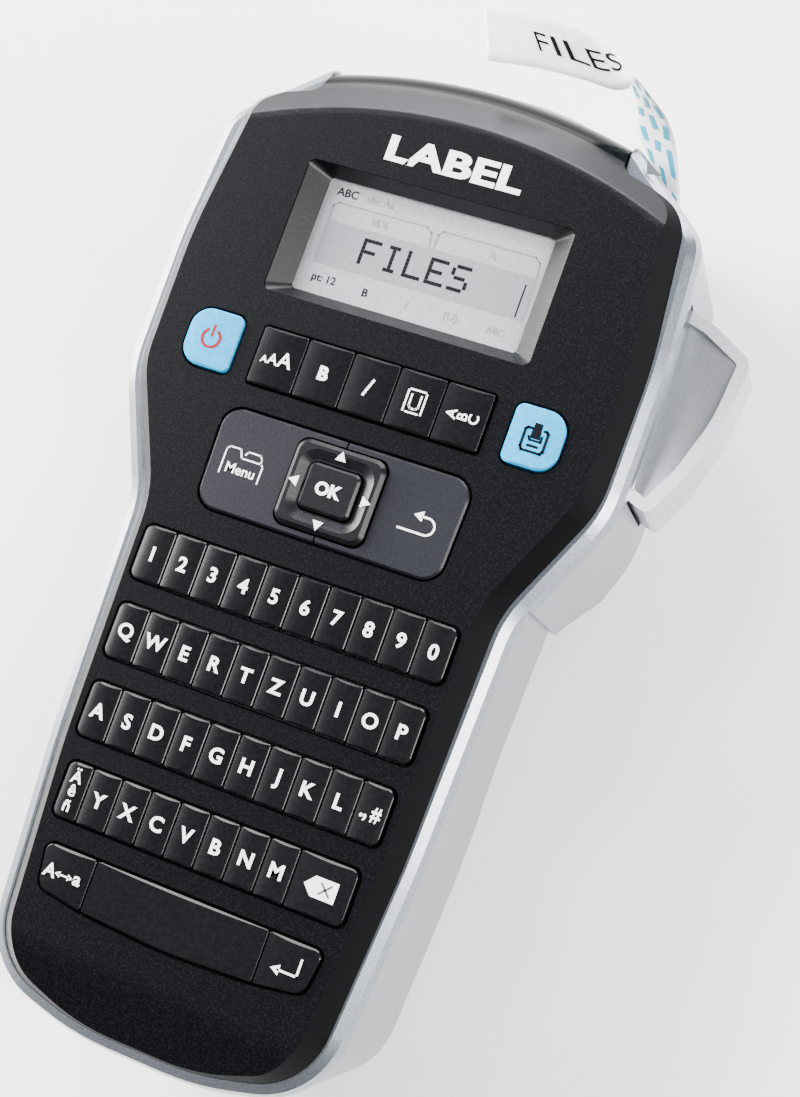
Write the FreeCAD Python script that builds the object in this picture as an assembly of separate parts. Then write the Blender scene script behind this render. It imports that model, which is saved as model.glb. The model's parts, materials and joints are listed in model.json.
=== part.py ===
"""Handheld label maker: black key face, silver rear housing, cutter lever, tape cassette and print drive.

Millimetres. The unit lies on its back: +Z out of the key face, +Y towards the display and tape exit,
+X towards the cutter lever. Shapes are drawn about the key face's centre line and moved at the end, so that
the origin is the middle of the whole object's footprint, on the surface it lies on.
"""
import FreeCAD, Part
import math
import os

V = FreeCAD.Vector
X_AXIS, Y_AXIS, Z_AXIS = V(1, 0, 0), V(0, 1, 0), V(0, 0, 1)

# ---- driving dimensions -------------------------------------------------------------------------------
FACE_Z = 53.0            # flat of the key face above the back
PARTING_Z = 48.5         # black shell meets silver housing
ROLL_Z = 42.6            # lowest edge of the rolled top end of the black shell
BEVEL_W = 3.4            # width of the bevel band round the key face
WALL = 2.3               # moulded wall thickness
GRIP_BACK_Z = 15.0       # back of the grip above the resting plane
FOOT_Z = 1.5             # grip end above the resting plane, taken up by the feet
BOSS_TOP_Z = 15.0        # housing's screw bosses meet the front shell's posts

# Corners (x, y, radius) of the right half, from the grip end up to the tape end.
BLACK_HALF = [(13, -100.3, 55), (34.3, -94.5, 15), (37.7, -50, 150), (38.9, 1.5, 24), (50.3, 26.5, 22),
              (50.7, 56, 100), (47.3, 87.0, 8.5), (32.6, 91.3, 3.2), (32.2, 98.4, 1.6), (12, 102.7, 60)]
SILVER_HALF = [(13.5, -103.1, 58), (37.3, -96.8, 18), (40.9, -50, 150), (42.5, 0.5, 20), (53.6, 25.3, 26),
               (53.9, 56, 100), (51.9, 83.2, 9), (33.6, 98.4, 4), (13, 103.0, 60)]
BEVEL_HALF = BLACK_HALF[:6] + [(47.3, 87.0, 9), (33.6, 96.0, 9), (33.2, 130, 0)]
ARCH_R = 122.0           # arch of the rolled tape end, seen from the front

# Key rows, counted from the number row down.
ROW_TOP_Y = -4.0
ROW_PITCH = 16.26
ROW_DEPTH = 11.1
ROW_HALF = [33.6, 33.1, 32.6, 31.3, 29.9]
ACCENT_RIGHT = -25.9
BACKSPACE_LEFT = 19.1
SPACE_HALF = 18.6
KEY_GAP = 0.35           # between neighbouring keys
KEY_CLEAR = 0.3          # between a key and the shell's opening
KEY_BASE_Z = 48.0
KEY_TOP_Z = FACE_Z + 0.9
KEY_EDGE = 0.45          # chamfer round a key's top
KEY_DOME = 0.35          # rise of a key's top across its width
KEY_TRAVEL = 0.8
LIP = 0.3                # chamfer round every opening of the key face
PANEL_CORNER = 4.2

FORMAT_TOP_Y, FORMAT_DEPTH, FORMAT_PITCH = 41.0, 11.8, 9.94
SIDE_KEY_X, SIDE_KEY_Y, SIDE_KEY_W, SIDE_KEY_H = 34.8, 35.3, 10.8, 12.0
PANEL_HALF_W, PANEL_LOW, PANEL_HIGH = 26.7, 2.8, 23.7
PANEL_TOP_Z = FACE_Z + 0.3
RING_Y, RING_HALF_W, RING_HALF_H, RING_TOP_Z = 13.25, 9.5, 8.8, FACE_Z + 1.6
OK_HALF_W, OK_HALF_H, OK_TOP_Z = 5.4, 4.7, FACE_Z + 1.9
TILT_GAP = 0.42          # room round the tilting ring
CARRIER_Z, RING_AXIS_Z, PIVOT_R = 47.8, 48.42, 0.25

LCD_HALF_W, LCD_LOW, LCD_HIGH = 24.4, 51.0, 75.3
RECESS_HALF_W, RECESS_LOW, RECESS_HIGH = 28.7, 48.2, 76.9
RECESS_FLOOR_Z = 49.0

BOARD_Z, BOARD_T = 43.9, 1.4
MAT_Z, MAT_T, PAD_H = 45.4, 1.0, 0.6

LEVER_PIVOT = V(50.6, 35.0, 0)
LEVER_LOW_Z, LEVER_HIGH_Z = 18.0, 41.6
LEVER_PIN_R = 1.5
SLOT_CENTRE = V(37.8, 95.0, 38.0)
SLOT_W, SLOT_H = 13.2, 1.6
TAPE_T = 0.24

CELL_R, CELL_LEN, CELL_PITCH, CELL_Z = 5.2, 44.5, 11.2, 24.0
CELL_COUNT, CELL_LOW_Y = 6, -77.0

GEAR_MODULE, GEAR_LOW_Z, GEAR_T = 0.5, 24.2, 2.6
MOTOR_XY = (28.0, 60.6)
PLATEN_XY = (31.0, 86.0)
PINION_T, IDLER_T, PLATEN_T, TAKEUP_T = 12, 36, 20, 24
PLATEN_R, SHAFT_R = 3.4, 1.2
CASE_X, CASE_Y, CASE_Z = (-34.0, 22.0), (30.0, 84.0), (4.5, 21.0)
ROLL_XY, ROLL_R = (-14.0, 55.0), 17.0
SUPPLY_XY, SUPPLY_R = (12.0, 42.0), 7.0
TAKEUP_R = 5.2

DOOR_HALF_W, DOOR_AXIS_Y, DOOR_END_Y = 36.0, 26.0, 87.0
DOOR_LOW_Z, DOOR_T = 0.3, 2.0
COVER_HALF_W, COVER_Y = 30.0, (-80.0, -8.0)


# ---- helpers ------------------------------------------------------------------------------------------
def mirrored(half):
    """Both sides of a symmetric outline, counter-clockwise."""
    return half + [(-x, y, r) for x, y, r in reversed(half)]


def rect(cx, cy, w, h, r=0.0):
    """Corner list of a rectangle."""
    x, y = w / 2, h / 2
    return [(cx - x, cy - y, r), (cx + x, cy - y, r), (cx + x, cy + y, r), (cx - x, cy + y, r)]


def grown(corners, d):
    """The same outline moved outwards by d (inwards if negative)."""
    pts = [V(x, y, 0) for x, y, _ in corners]
    n = len(pts)
    moved = []
    for i, (_, _, r) in enumerate(corners):
        a = (pts[i] - pts[i - 1]).normalize()
        b = (pts[(i + 1) % n] - pts[i]).normalize()
        turn = a.x * b.y - a.y * b.x
        bisector = V(a.y + b.y, -a.x - b.x, 0)
        corner = pts[i] + bisector * (d / (1 + a.dot(b)))
        new_r = max(r + (d if turn > 0 else -d), 0.05) if r else 0.0
        moved.append((corner.x, corner.y, new_r))
    return moved


def wire(corners, z=0.0):
    """Closed wire through the corners, each rounded to its own radius."""
    pts = [V(x, y, z) for x, y, _ in corners]
    n = len(pts)
    starts, ends, arcs = [], [], []
    for i, (_, _, r) in enumerate(corners):
        a = (pts[i] - pts[i - 1]).normalize()
        b = (pts[(i + 1) % n] - pts[i]).normalize()
        angle = a.getAngle(b)
        if r == 0 or angle < 1e-4:
            starts.append(pts[i])
            ends.append(pts[i])
            arcs.append(None)
            continue
        cut = r * math.tan(angle / 2)
        p, q = pts[i] - a * cut, pts[i] + b * cut
        middle = (b - a).normalize()
        mid = pts[i] + middle * (r / math.cos(angle / 2) - r)
        starts.append(p)
        ends.append(q)
        arcs.append(Part.Arc(p, mid, q).toShape())
    edges = []
    for i in range(n):
        if arcs[i]:
            edges.append(arcs[i])
        nxt = starts[(i + 1) % n]
        if (nxt - ends[i]).Length > 1e-6:
            edges.append(Part.LineSegment(ends[i], nxt).toShape())
    return Part.Wire(edges)


def prism(corners, low, high):
    """Straight-sided solid between two heights."""
    return Part.Face(wire(corners, low)).extrude(V(0, 0, high - low))


def taper(low_corners, low, high_corners, high):
    """Solid with flat or conical sides between two outlines."""
    return Part.makeLoft([wire(low_corners, low), wire(high_corners, high)], True, True)


def side_prism(corners_yz, half_width):
    """Prism along X from a profile drawn in Y and Z."""
    solid = prism(corners_yz, -half_width, half_width)
    solid.rotate(V(0, 0, 0), V(1, 1, 1), 120)
    return solid


def end_prism(corners_xz, y_low, y_high):
    """Prism along Y from a profile drawn in X and Z."""
    solid = prism(corners_xz, -y_high, -y_low)
    solid.rotate(V(0, 0, 0), X_AXIS, 90)
    return solid


def box(x0, x1, y0, y1, z0, z1):
    return Part.makeBox(x1 - x0, y1 - y0, z1 - z0, V(x0, y0, z0))


def rod(x, y, r, z0, z1):
    return Part.makeCylinder(r, z1 - z0, V(x, y, z0))


def fuse(shapes):
    """One solid from touching shapes."""
    shapes = list(shapes)
    return shapes[0].multiFuse(shapes[1:]).removeSplitter() if len(shapes) > 1 else shapes[0]


def cut(shape, tools):
    return shape.cut(Part.makeCompound(list(tools)))


# ---- outer casing -------------------------------------------------------------------------------------
def black_skin():
    """Outer form of the key face: bevelled sides, rolled top end, sloped grip end."""
    body = prism(mirrored(BLACK_HALF), ROLL_Z, FACE_Z)
    steep = (FACE_Z - PARTING_Z) / BEVEL_W
    low = 38.0
    spread = (PARTING_Z - low) / steep
    bevel = mirrored(BEVEL_HALF)
    sides = taper(grown(bevel, spread), low, grown(bevel, -BEVEL_W), FACE_Z)
    profile = [(-120, 30, 0), (120, 30, 0), (120, FACE_Z, 0),
               (-89, FACE_Z, 14), (-101, 48.7, 0), (-120, 48.7, 0)]
    return body.common(sides).common(side_prism(profile, 70)).common(rolled_end())


def rolled_end():
    """Disc as tall as the face, whose rim gives the tape end its arched roll-off."""
    rim = [(0, 30, 0), (ARCH_R + 0.2, 30, 0), (ARCH_R, ROLL_Z + 0.6, 0), (ARCH_R - 2.3, 50.4, 9),
           (ARCH_R - 11.4, FACE_Z, 6), (0, FACE_Z, 0)]
    half = Part.Face(wire(rim))
    half.rotate(V(0, 0, 0), X_AXIS, 90)
    return half.revolve(V(0, 0, 0), Z_AXIS, 360).translated(V(0, 102.75 - ARCH_R, 0))


def black_skin_below():
    """Room under the key face's roof for the screw posts."""
    roof = black_skin().translated(V(0, 0, -WALL / 2))
    return roof.fuse(prism(grown(mirrored(BLACK_HALF), -WALL), 0, 44))


def parting_gap():
    """Everything of the black shell above the parting line, plus its rolled top end below it."""
    above = box(-60, 60, -110, 110, PARTING_Z, 60)
    roll = box(-32.45, 32.45, 91.5, 110, ROLL_Z, 60)
    return above.fuse(roll)


def key_outlines():
    """Outline of every key cap, by node."""
    keys = {}
    names = ["number_keys", "upper_letter_keys", "home_letter_keys"]
    for row, name in enumerate(names):
        pitch = 2 * ROW_HALF[row] / 10
        keys[name] = [row_key(row, -ROW_HALF[row] + i * pitch, -ROW_HALF[row] + (i + 1) * pitch)
                      for i in range(10)]
    pitch = (BACKSPACE_LEFT - ACCENT_RIGHT) / 7
    keys["lower_letter_keys"] = [row_key(3, ACCENT_RIGHT + i * pitch, ACCENT_RIGHT + (i + 1) * pitch)
                                 for i in range(7)]
    keys["accent_key"] = [row_key(3, -ROW_HALF[3], ACCENT_RIGHT)]
    keys["backspace_key"] = [row_key(3, BACKSPACE_LEFT, ROW_HALF[3])]
    keys.update(bottom_row())
    for i, name in enumerate(["size_key", "bold_key", "italic_key", "frame_key", "vertical_key"]):
        cx = (i - 2) * FORMAT_PITCH
        keys[name] = [rect(cx, FORMAT_TOP_Y - FORMAT_DEPTH / 2, FORMAT_PITCH - KEY_GAP, FORMAT_DEPTH, 0.5)]
    for name, side in (("power_key", -1), ("print_key", 1)):
        keys[name] = [side_key(side)]
    return keys


def row_top(row):
    return ROW_TOP_Y - row * ROW_PITCH


def row_key(row, left, right):
    """A key cap of a row, with a larger radius where it ends the row."""
    top = row_top(row)
    low_left = low_right = 0.5
    if left <= -ROW_HALF[row] + 0.1:
        low_left = 1.6
    if right >= ROW_HALF[row] - 0.1:
        low_right = 1.6
    x0, x1, y0 = left + KEY_GAP / 2, right - KEY_GAP / 2, top - ROW_DEPTH
    return [(x0, y0, low_left), (x1, y0, low_right), (x1, top, low_right), (x0, top, low_left)]


def bottom_row():
    """Case, space and enter keys: their lower edge follows the grip end's curve."""
    top, half, gap = row_top(4), ROW_HALF[4], KEY_GAP / 2
    end_low, inner_low, centre_low = top - 8.8, top - 10.2, top - 11.2
    case = [(-half + 1.4, end_low, 2.6), (-SPACE_HALF - gap, inner_low, 0.5),
            (-SPACE_HALF - gap, top, 0.5), (-half, top, 1.6)]
    space = [(-SPACE_HALF + gap, inner_low, 0.5), (0, centre_low, 90), (SPACE_HALF - gap, inner_low, 0.5),
             (SPACE_HALF - gap, top, 0.5), (-SPACE_HALF + gap, top, 0.5)]
    enter = [(-x, y, r) for x, y, r in reversed(case)]
    return {"case_key": [case], "space_key": [space], "enter_key": [enter]}


def side_key(side):
    """Power or print key: a square cap with its outer corners more rounded."""
    w, h = SIDE_KEY_W / 2, SIDE_KEY_H / 2
    cap = [(-w, -h, 1.6), (w, -h, 4.2), (w, h, 4.2), (-w, h, 1.6)]
    if side < 0:
        cap = [(-x, y, r) for x, y, r in reversed(cap)]
    return [(x + side * SIDE_KEY_X, y + SIDE_KEY_Y, r) for x, y, r in cap]


def row_opening(row):
    """Opening of the shell round a whole key row."""
    half, top = ROW_HALF[row] + KEY_CLEAR, row_top(row) + KEY_CLEAR
    low = row_top(row) - ROW_DEPTH - KEY_CLEAR
    if row < 4:
        return [(-half, low, 1.8), (half, low, 1.8), (half, top, 1.8), (-half, top, 1.8)]
    side_low, centre_low = top - 9.2, top - 11.9
    return [(-half + 1.3, side_low, 2.8), (-SPACE_HALF, low + 0.75, 60), (0, centre_low, 90),
            (SPACE_HALF, low + 0.75, 60), (half - 1.3, side_low, 2.8), (half, top, 1.8), (-half, top, 1.8)]


def panel_outline(grow=0.0):
    """The navigation panel, split between the menu and back keys."""
    low_half = PANEL_HALF_W - 0.6
    return grown([(-low_half, PANEL_LOW, PANEL_CORNER), (low_half, PANEL_LOW, PANEL_CORNER),
                  (PANEL_HALF_W, PANEL_HIGH, PANEL_CORNER), (-PANEL_HALF_W, PANEL_HIGH, PANEL_CORNER)], grow)


def key_openings():
    """Outlines of the openings in the key face, with room round the keys."""
    wide, deep = 5 * FORMAT_PITCH - KEY_GAP + 2 * KEY_CLEAR, FORMAT_DEPTH + 2 * KEY_CLEAR
    format_row = rect(0, FORMAT_TOP_Y - FORMAT_DEPTH / 2, wide, deep, 0.8)
    sides = [grown(side_key(side), KEY_CLEAR) for side in (-1, 1)]
    return [row_opening(row) for row in range(5)] + sides + [panel_outline(KEY_CLEAR), format_row]


def front_shell():
    """Black key face with its openings and display recess."""
    skin = black_skin().common(parting_gap())
    hollow = black_skin().translated(V(0, 0, -WALL)).common(prism(grown(mirrored(BLACK_HALF), -WALL), 30, 60))
    below_end = mirrored(BLACK_HALF[:6] + [(47.3, 87.0, 8.5)])
    hollow = hollow.fuse(prism(grown(below_end, -WALL), 40, PARTING_Z + 1))
    shell = skin.cut(hollow)
    shell = shell.fuse(box(-31, 31, 46.0, 79.2, 47.9, 51.2))
    high = rect(0, (RECESS_LOW + RECESS_HIGH) / 2, 2 * RECESS_HALF_W, RECESS_HIGH - RECESS_LOW, 1.6)
    low = rect(0, (LCD_LOW + LCD_HIGH) / 2, 2 * LCD_HALF_W, LCD_HIGH - LCD_LOW, 0.8)
    tools = [taper(low, RECESS_FLOOR_Z, high, FACE_Z), prism(low, 47, RECESS_FLOOR_Z),
             prism(lens_outline(0.1), 47, RECESS_FLOOR_Z)]
    for outline in key_openings():
        tools += [prism(outline, 40, 60), taper(outline, FACE_Z - LIP, grown(outline, 2 * LIP), FACE_Z + LIP)]
    posts = [rod(x, y, 3.0, BOSS_TOP_Z + 0.1, FACE_Z - WALL + 0.5) for x, y in screw_places()]
    shell = shell.multiFuse([post.common(black_skin_below()) for post in posts])
    return cut(shell, tools + [rod(x, y, 1.4, 0, 24) for x, y in screw_places()])


def lens_outline(grow=0.0):
    return grown(rect(0, (LCD_LOW + LCD_HIGH) / 2, 2 * LCD_HALF_W + 4, LCD_HIGH - LCD_LOW + 3.2, 1.0), grow)


def housing_form(inset):
    """Rear form, or its inner form when inset: plan, side and end profiles together."""
    plan = grown(mirrored(SILVER_HALF), -inset)
    body = prism(plan, 0, PARTING_Z if inset else 45.2)
    if not inset:
        shoulder = grown(plan, -0.9)
        top_facet = taper(shoulder, 47.3, grown(plan, -2.7), PARTING_Z)
        body = body.fuse([taper(plan, 45.2, shoulder, 47.3), top_facet])
    side = [(-103.2, 60, 0), (-103.2, FOOT_Z, 13), (-72, FOOT_Z, 60), (-28, GRIP_BACK_Z, 60),
            (4, GRIP_BACK_Z, 14), (16, 0, 11), (103.1, 0, 16), (103.1, 60, 0)]
    head = [(-54.2, 60, 0), (-54.2, 0, 12), (54.2, 0, 12), (54.2, 60, 0)]
    grip = [(-43.2, 60, 0), (-43.2, 0, 20), (43.2, 0, 20), (43.2, 60, 0)]
    ends = end_prism(grown(head, -inset), 4 + inset, 120).fuse(end_prism(grown(grip, -inset), -120, 20))
    return body.common(side_prism(grown(side, -inset), 70)).common(ends)


def slot_axes():
    """Directions along the tape slot and out through the wall."""
    a, b = V(*SILVER_HALF[6][:2], 0), V(*SILVER_HALF[7][:2], 0)
    along = (b - a).normalize()
    return along, V(along.y, -along.x, 0)


def slot_box(length, low, high, depth_in, depth_out, offset=0.0):
    """Box beside the slanted shoulder wall, measured from the slot's centre."""
    along, out = slot_axes()
    solid = Part.makeBox(length, depth_in + depth_out, high - low)
    solid.rotate(V(0, 0, 0), Z_AXIS, math.degrees(math.atan2(along.y, along.x)))
    corner = SLOT_CENTRE + along * (offset - length / 2)
    corner += out * (depth_out if solid.BoundBox.YMin < -0.01 else -depth_in)
    return solid.translated(V(corner.x, corner.y, low))


def rear_housing():
    """Silver rear case with lever window, tape slot, door and battery openings."""
    outer = housing_form(0)
    inner = housing_form(WALL).common(box(-60, 60, -110, 110, -1, 45.0))
    ledge = prism(grown(mirrored(BLACK_HALF[:6] + [(45.5, 85.0, 8.5)]), -WALL), 44, 60)
    shell = outer.cut(inner).cut(ledge)
    roll = box(-32.7, 32.7, 91.4, 110, ROLL_Z - 0.15, 60)
    window = box(46, 60, 30.4, 72.2, LEVER_LOW_Z - 0.4, LEVER_HIGH_Z + 0.4)
    slot = slot_box(SLOT_W, SLOT_CENTRE.z - SLOT_H / 2, SLOT_CENTRE.z + SLOT_H / 2, 6, 6)
    door = box(-DOOR_HALF_W - 0.3, DOOR_HALF_W + 0.3, DOOR_AXIS_Y - 1.4, DOOR_END_Y + 0.3, -1, 3)
    pivot_start = V(-DOOR_HALF_W - 1.5, DOOR_AXIS_Y, door_axis_z())
    pivots = Part.makeCylinder(0.65, 2 * DOOR_HALF_W + 3, pivot_start, X_AXIS)
    hatch = box(-COVER_HALF_W - 0.25, COVER_HALF_W + 0.25, COVER_Y[0] - 0.25, COVER_Y[1] + 0.25, -1, 20)
    jack = Part.makeCylinder(4.0, 12, V(-60, 78, 30), X_AXIS)
    tools = [roll, window, slot, door, pivots, hatch, jack]
    tools += [rod(x, y, 1.5, -1, 30) for x, y in screw_places()]
    tools += [rod(x, y, 2.8, -1, screw_seat(y)) for x, y in screw_places()]
    lugs = [box(46.4, 52.6, 31.4, 38.8, low, low + 2.6) for low in (LEVER_LOW_Z - 3.4, LEVER_HIGH_Z + 0.5)]
    hole = lever_pin()
    bosses = [rod(x, y, 3.6, -1, BOSS_TOP_Z).common(outer) for x, y in screw_places()]
    return cut(shell.multiFuse(bosses + lugs), tools + [hole])


def screw_places():
    return [(-22.0, -91.6), (22.0, -91.6), (-20.0, 95.0), (20.0, 95.0)]


def screw_seat(y):
    """Height of the screw heads' seat in the back."""
    return 5.0 if y < 0 else 6.0


def case_screws():
    """Four self-tapping screws from the back."""
    solids = []
    for x, y in screw_places():
        seat = screw_seat(y)
        head = rod(x, y, 2.6, seat - 1.8, seat).cut(box(x - 0.4, x + 0.4, y - 2, y + 2, seat - 2, seat - 1))
        solids.append(head.fuse(rod(x, y, 1.4, seat, seat + 15)))
    return solids


def feet():
    """Two rubber feet under the grip end."""
    return [rod(x, -85.5, 4.0, 0, FOOT_Z).cut(rod(x, -85.5, 1.0, 0, 0.5)) for x in (-18.0, 18.0)]


def door_axis_z():
    return DOOR_LOW_Z + DOOR_T / 2


def cassette_door():
    """Back door with its hinge barrel, pivot stubs and window opening."""
    plan = [(-DOOR_HALF_W, DOOR_AXIS_Y, 0), (DOOR_HALF_W, DOOR_AXIS_Y, 0),
            (DOOR_HALF_W, DOOR_END_Y, 5), (-DOOR_HALF_W, DOOR_END_Y, 5)]
    plate = prism(plan, DOOR_LOW_Z, DOOR_LOW_Z + DOOR_T)
    end = V(-DOOR_HALF_W, DOOR_AXIS_Y, door_axis_z())
    barrel = Part.makeCylinder(DOOR_T / 2, 2 * DOOR_HALF_W, end, X_AXIS)
    stubs = Part.makeCylinder(0.6, 2 * DOOR_HALF_W + 2.4, end - V(1.2, 0, 0), X_AXIS)
    door = plate.fuse([barrel, stubs])
    steps = [DOOR_END_Y - 4 - 1.6 * i for i in range(4)]
    grooves = [box(-14, 14, y, y + 0.8, 0, 0.7) for y in steps]
    return cut(door, [prism(window_outline(0.1), -1, 5)] + grooves)


def window_outline(grow=0.0):
    return grown(rect(-14, 56, 34, 26, 3), grow)


def battery_cover(outer, inner):
    """The piece of the grip's back wall that covers the cells."""
    return outer.cut(inner).common(box(-COVER_HALF_W, COVER_HALF_W, COVER_Y[0], COVER_Y[1], -1, 20))


# ---- keys ---------------------------------------------------------------------------------------------
def cap(corners, base=KEY_BASE_Z, top=KEY_TOP_Z, edge=KEY_EDGE):
    """Flat-topped cap with chamfered top edges."""
    return prism(corners, base, top - edge).fuse(taper(corners, top - edge, grown(corners, -edge), top))


def domed_cap(corners):
    """Key cap whose top bows from side to side."""
    left, right = min(x for x, _, _ in corners), max(x for x, _, _ in corners)
    radius = (right - left) ** 2 / (8 * KEY_DOME)
    bow = Part.makeCylinder(radius, 200, V((left + right) / 2, -100, KEY_TOP_Z - radius), Y_AXIS)
    return cap(corners).common(bow)


def panel_keys():
    """Menu and back keys: the two halves of the panel round the tilting ring."""
    hole = rect(0, RING_Y, 2 * (RING_HALF_W + TILT_GAP), 2 * (RING_HALF_H + TILT_GAP), 2.6)
    whole = cap(panel_outline(), top=PANEL_TOP_Z, edge=0.4).cut(prism(hole, 40, 60))
    half_gap = KEY_GAP / 2
    return {"menu_key": [whole.common(box(-40, -half_gap, 0, 30, 40, 60))],
            "back_key": [whole.common(box(half_gap, 40, 0, 30, 40, 60))]}


def nav_ring():
    """Raised square four-way ring, dished towards the OK key."""
    outer = rect(0, RING_Y, 2 * RING_HALF_W, 2 * RING_HALF_H, 2.6)
    inner = rect(0, RING_Y, 2 * (OK_HALF_W + TILT_GAP), 2 * (OK_HALF_H + TILT_GAP), 1.6)
    body = cap(outer, base=KEY_BASE_Z + 0.6, top=RING_TOP_Z, edge=0.8)
    dish = taper(grown(inner, 0.3), RING_TOP_Z - 0.9, grown(inner, 2.4), RING_TOP_Z + 0.1)
    pins = [Part.makeCylinder(PIVOT_R, 1.4, V(0, RING_Y + y, RING_AXIS_Z), Y_AXIS) for y in (-7.9, 6.5)]
    return cut(body, [prism(inner, 40, 60), dish]).multiFuse(pins)


def nav_carrier():
    """Gimbal frame between the ring and the contact mat."""
    outer = rect(0, RING_Y, 17.0, 16.0, 1.5)
    inner = rect(0, RING_Y, 2 * OK_HALF_W + 1.4, 2 * OK_HALF_H + 1.4, 1.0)
    frame = prism(outer, CARRIER_Z - PIVOT_R, CARRIER_Z + PIVOT_R).cut(prism(inner, 40, 60))
    pins = [Part.makeCylinder(PIVOT_R, 1.4, V(x, RING_Y, CARRIER_Z), X_AXIS) for x in (-9.6, 8.2)]
    return frame.multiFuse(pins)


def keypad_mat(caps):
    """Silicone contact mat with a pad under each key."""
    sheet = prism(mirrored([(32, -88, 4), (33, -3, 8), (43, 24, 8), (43, 44.5, 3)]), MAT_Z, MAT_Z + MAT_T)
    mat_top = MAT_Z + MAT_T
    pads = []
    for outlines in caps.values():
        for corners in outlines:
            xs = [c[0] for c in corners]
            ys = [c[1] for c in corners]
            cx, cy = (min(xs) + max(xs)) / 2, (min(ys) + max(ys)) / 2
            pads.append(box(cx - 1.8, cx + 1.8, cy - 2.4, cy + 2.4, mat_top - 0.2, mat_top + PAD_H))
    for x, y in ((-18, RING_Y), (18, RING_Y), (0, RING_Y)):
        pads.append(box(x - 1.8, x + 1.8, y - 1.8, y + 1.8, mat_top - 0.2, mat_top + PAD_H))
    return sheet.multiFuse(pads)


# ---- display and electronics --------------------------------------------------------------------------
def lcd_window():
    return prism(lens_outline(), RECESS_FLOOR_Z - 1.05, RECESS_FLOOR_Z - 0.05)


def lcd_module():
    """Display cell in its frame."""
    return prism(rect(0, (LCD_LOW + LCD_HIGH) / 2, 54, 28.6, 1.0), 44.6, 47.8)


def main_board():
    """Circuit board under the keypad."""
    plan = mirrored([(30, -86, 4), (31.5, -3, 8), (41, 24, 8), (41, 45.5, 3)])
    board = prism(plan, BOARD_Z, BOARD_Z + BOARD_T)
    return cut(board, [rod(x, y, 1.2, 40, 50) for x in (-26, 26) for y in (-80, 42)])


def board_chips():
    """Controller, memory and power parts on the board's underside."""
    places = [(0, 20, 12, 12), (-18, 26, 7, 5), (18, 24, 6, 8), (-22, 8, 5, 4), (24, 4, 5, 5)]
    return [box(x - w / 2, x + w / 2, y - d / 2, y + d / 2, BOARD_Z - 1.5, BOARD_Z) for x, y, w, d in places]


def dc_jack():
    """Power inlet in the left flank, with its centre pin."""
    bore = Part.makeCylinder(2.75, 9, V(-54, 78, 30), X_AXIS)
    body = Part.makeCylinder(3.8, 11, V(-53.6, 78, 30), X_AXIS).cut(bore)
    return body.fuse(Part.makeCylinder(0.65, 8.5, V(-52.6, 78, 30), X_AXIS))


def battery_cells():
    """Six small cells side by side across the grip, alternating ends."""
    cells = []
    for i in range(CELL_COUNT):
        y = CELL_LOW_Y + i * CELL_PITCH
        side = 1 if i % 2 else -1
        flat_end = V(-CELL_LEN / 2 + (0 if side > 0 else 1), y, CELL_Z)
        body = Part.makeCylinder(CELL_R, CELL_LEN - 1, flat_end, X_AXIS)
        start = CELL_LEN / 2 - 1 if side > 0 else -CELL_LEN / 2
        cells.append(body.fuse(Part.makeCylinder(1.9, 1, V(start, y, CELL_Z), X_AXIS)))
    return cells


def battery_contacts():
    """A flat plate at each cell's positive end and a coil at its negative end."""
    parts = []
    for i in range(CELL_COUNT):
        y = CELL_LOW_Y + i * CELL_PITCH
        side = 1 if i % 2 else -1
        x = side * (CELL_LEN / 2 + 0.1)
        near, far = sorted((x, x + side * 0.5))
        parts.append(box(near, far, y - 3.5, y + 3.5, CELL_Z - 4, CELL_Z + 4))
        coil = Part.makeHelix(1.1, 3.0, 2.4)
        profile = Part.Wire(Part.makeCircle(0.3, V(2.4, 0, 0), Y_AXIS))
        spring = Part.Wire(coil).makePipeShell([profile], True, True)
        spring.rotate(V(0, 0, 0), Y_AXIS, -90 * side)
        parts.append(spring.translated(V(-side * (CELL_LEN / 2 + 0.45), y, CELL_Z)))
    return parts


def battery_tray():
    """Moulded trough that holds the cells off the back wall."""
    y0, y1 = CELL_LOW_Y - 6.5, CELL_LOW_Y + (CELL_COUNT - 1) * CELL_PITCH + 6.5
    ends = [box(s * 27.0 - 0.9, s * 27.0 + 0.9, y0, y1, 20, 33) for s in (-1, 1)]
    return fuse([box(-27.5, 27.5, y0, y1, 31.5, 33)] + ends)


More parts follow.
